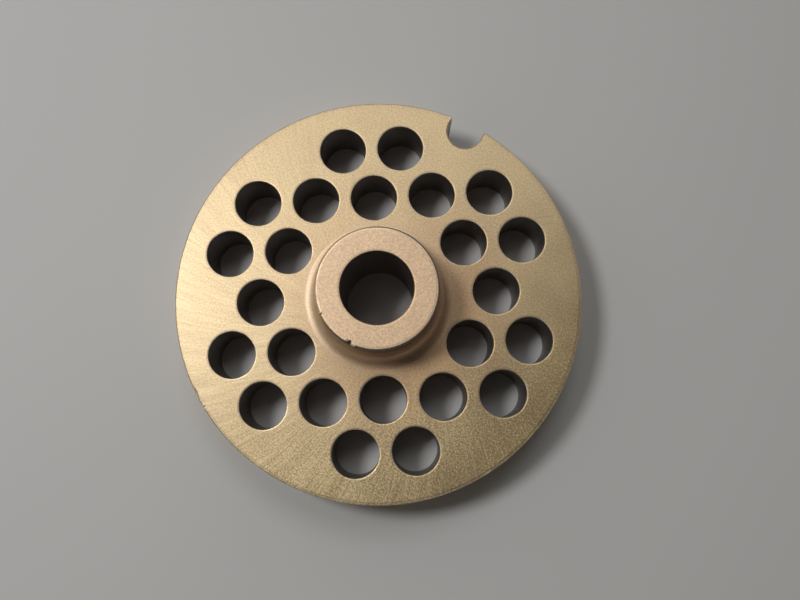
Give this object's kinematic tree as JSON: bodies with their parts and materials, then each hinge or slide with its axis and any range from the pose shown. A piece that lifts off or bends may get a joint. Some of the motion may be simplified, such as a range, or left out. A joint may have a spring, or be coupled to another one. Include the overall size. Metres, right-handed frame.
{
  "type": "meat grinder plate",
  "caption": "Round flat plate with a short central hub and bore, round holes in a hexagonal pattern and a key notch in the rim.",
  "frame": {"origin": "centre of the bore in the plane of the flat cutting face, which is also the face it rests on", "axes": "+Z along the bore, from the cutting face to the hub's end; +Y from the bore to the middle of the key notch; +X completes the right-handed set"},
  "size_m": [0.07, 0.0698, 0.0195],
  "materials": {
    "ground_steel": "ground tool steel with a satin, warm grey to straw sheen, fine grinding lines and light wear on the edges"
  },
  "bodies": {
    "root": {"grinder_plate": "ground_steel"}
  },
  "joints": []
}
